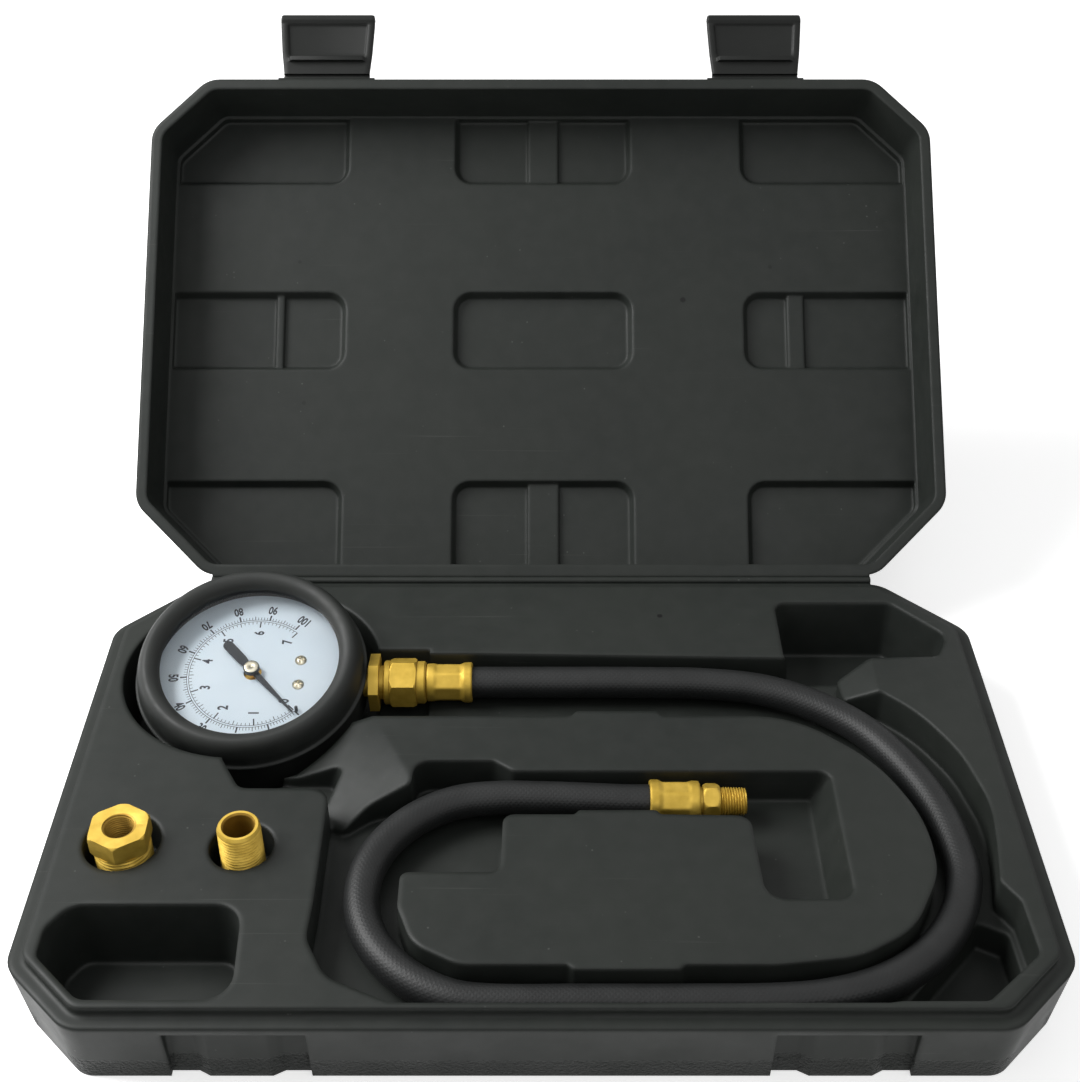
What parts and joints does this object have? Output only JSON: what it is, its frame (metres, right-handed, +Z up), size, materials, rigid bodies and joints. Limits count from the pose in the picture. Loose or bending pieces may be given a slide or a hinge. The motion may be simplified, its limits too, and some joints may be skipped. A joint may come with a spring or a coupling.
{
  "type": "oil pressure tester",
  "caption": "Dial pressure gauge in a rubber boot on a hose with brass fittings and thread adapters, kept in a moulded case with a hinged lid and latches.",
  "frame": {"origin": "middle of the base's underside", "axes": "+X to the right of someone who opens the case, +Y towards the hinge, +Z up"},
  "size_m": [0.336, 0.4076, 0.1983],
  "materials": {
    "case_plastic": "matt, moulded",
    "boot_rubber": "matt",
    "hose_rubber": "matt, cloth-wrapped",
    "can_steel": "satin",
    "lens_glass": "clear",
    "seat_plastic": "matt",
    "dial_face": "matt",
    "pointer_black": "satin",
    "screw_steel": "satin",
    "spring_steel": "satin",
    "fitting_brass": "machined"
  },
  "bodies": {
    "base": {"case_base": "case_plastic", "hinge_bead": "case_plastic"},
    "lid": {"case_lid": "case_plastic"},
    "latch_left": {"latch_left": "case_plastic"},
    "latch_right": {"latch_right": "case_plastic"},
    "tester": {"gauge_boot": "boot_rubber", "gauge_can": "can_steel", "lens": "lens_glass", "lens_seat": "seat_plastic", "dial_plate": "dial_face", "dial_screws": "fitting_brass", "hairspring": "spring_steel", "rear_plate": "fitting_brass", "front_plate": "fitting_brass", "plate_pillars": "fitting_brass", "movement_screws": "screw_steel", "pressure_tube": "fitting_brass", "tube_tip": "fitting_brass", "stem_socket": "fitting_brass", "hose_coupling": "fitting_brass", "gauge_ferrule": "fitting_brass", "hose": "hose_rubber", "end_ferrule": "fitting_brass", "end_fitting": "fitting_brass"},
    "pointer": {"pointer": "pointer_black", "pointer_cap": "fitting_brass", "pinion_arbor": "fitting_brass"},
    "sector": {"sector_gear": "fitting_brass"},
    "link": {"tip_link": "fitting_brass"},
    "adapter_bushing": {"adapter_bushing": "fitting_brass"},
    "adapter_nipple": {"adapter_nipple": "fitting_brass"}
  },
  "joints": [
    {"name": "lid_hinge", "type": "hinge", "parent": "base", "child": "lid", "pos_m": [0, 0.1114, 0.027], "axis": [1, 0, 0], "range_deg": [0, 136.6]},
    {"name": "latch_left_hinge", "type": "hinge", "parent": "lid", "child": "latch_left", "pos_m": [-0.0935, 0.27559, 0.17677], "axis": [1, 0, 0], "range_deg": [0, 90]},
    {"name": "latch_right_hinge", "type": "hinge", "parent": "lid", "child": "latch_right", "pos_m": [0.0935, 0.27559, 0.17677], "axis": [1, 0, 0], "range_deg": [0, 90]},
    {"name": "tester_lift", "type": "slide", "parent": "base", "child": "tester", "axis": [0, 0, 1], "range_m": [0, 0.12]},
    {"name": "pointer_turn", "type": "hinge", "parent": "tester", "child": "pointer", "pos_m": [-0.1095, 0.05056, 0.03126], "axis": [0, 0.2419, -0.9703], "range_deg": [0, 270]},
    {"name": "sector_turn", "type": "hinge", "parent": "tester", "child": "sector", "pos_m": [-0.12157, 0.06208, 0.02692], "axis": [0, 0.2419, -0.9703], "range_deg": [-45, 0]},
    {"name": "link_turn", "type": "hinge", "parent": "sector", "child": "link", "pos_m": [-0.11988, 0.06861, 0.02669], "axis": [0, 0.2419, -0.9703], "range_deg": [0, 45]},
    {"name": "bushing_lift", "type": "slide", "parent": "base", "child": "adapter_bushing", "axis": [0, 0, 1], "range_m": [0, 0.12]},
    {"name": "nipple_lift", "type": "slide", "parent": "base", "child": "adapter_nipple", "axis": [0, 0, 1], "range_m": [0, 0.12]}
  ],
  "couplings": [
    {"joint": "sector_turn", "follows": "pointer_turn", "ratio": -0.16667},
    {"joint": "link_turn", "follows": "pointer_turn", "ratio": 0.16667}
  ]
}
